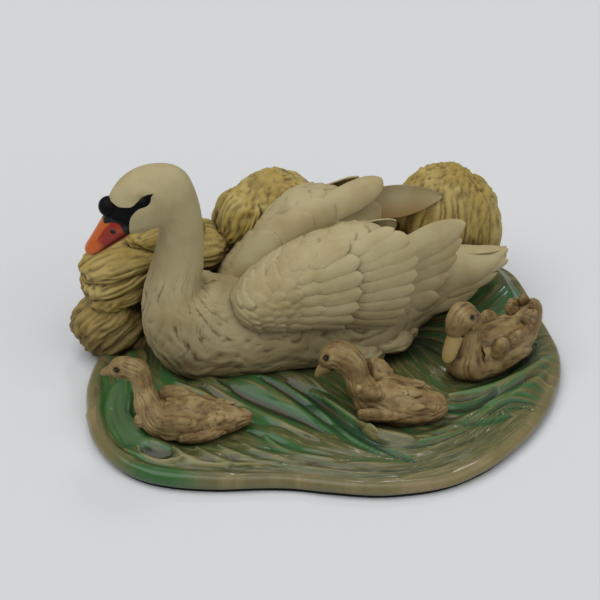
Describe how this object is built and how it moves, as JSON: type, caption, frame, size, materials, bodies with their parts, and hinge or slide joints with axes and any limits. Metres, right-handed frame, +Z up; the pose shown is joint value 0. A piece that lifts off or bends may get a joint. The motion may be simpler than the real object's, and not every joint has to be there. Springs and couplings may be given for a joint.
{
  "type": "swan figurine",
  "caption": "Cast resin figurine of a swan on green water with its cygnets and ochre rocks, on a felt pad, to stand on a shelf.",
  "frame": {"origin": "on the table under the middle of the base, at the pad's resting face", "axes": "+X towards the swan's tail, +Y towards the rocks behind it, +Z up"},
  "size_m": [0.1898, 0.1421, 0.0958],
  "materials": {
    "painted_resin": "hand-painted cast resin with a brown wash in the carving, glossy on the water",
    "green_felt": "short-pile felt"
  },
  "bodies": {
    "root": {"swan_casting": "painted_resin", "felt_pad": "green_felt"}
  },
  "joints": []
}
